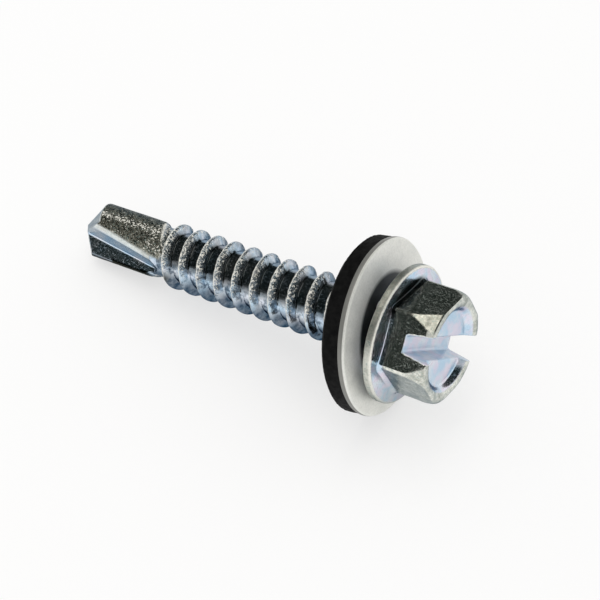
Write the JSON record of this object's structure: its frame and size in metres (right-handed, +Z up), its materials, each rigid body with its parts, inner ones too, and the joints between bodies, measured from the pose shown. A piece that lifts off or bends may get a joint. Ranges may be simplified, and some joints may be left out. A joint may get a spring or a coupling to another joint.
{
  "type": "self-drilling screw",
  "caption": "Self-drilling screw with a slotted hexagon washer head, coarse tapping thread, two-flute drill point and a loose rubber-backed steel sealing washer.",
  "frame": {"origin": "bottom centre of the bounding box of the screw as it lies, on the ground plane", "axes": "+X from the drill point towards the head along the ground, +Z up, +Y to the left of the head"},
  "size_m": [0.0368, 0.0142, 0.0141],
  "materials": {
    "zinc_steel": "bright blue-white zinc plating, glossy",
    "washer_steel": "dull zinc plating, satin",
    "rubber": "matte black EPDM"
  },
  "bodies": {
    "screw": {"screw": "zinc_steel"},
    "washer": {"steel_washer": "washer_steel", "rubber_washer": "rubber"}
  },
  "joints": [
    {"name": "washer_spin", "type": "hinge", "parent": "screw", "child": "washer", "pos_m": [0.01155, 0.00002, 0.00714], "axis": [0.9624, 0.0906, 0.256], "continuous": true}
  ]
}
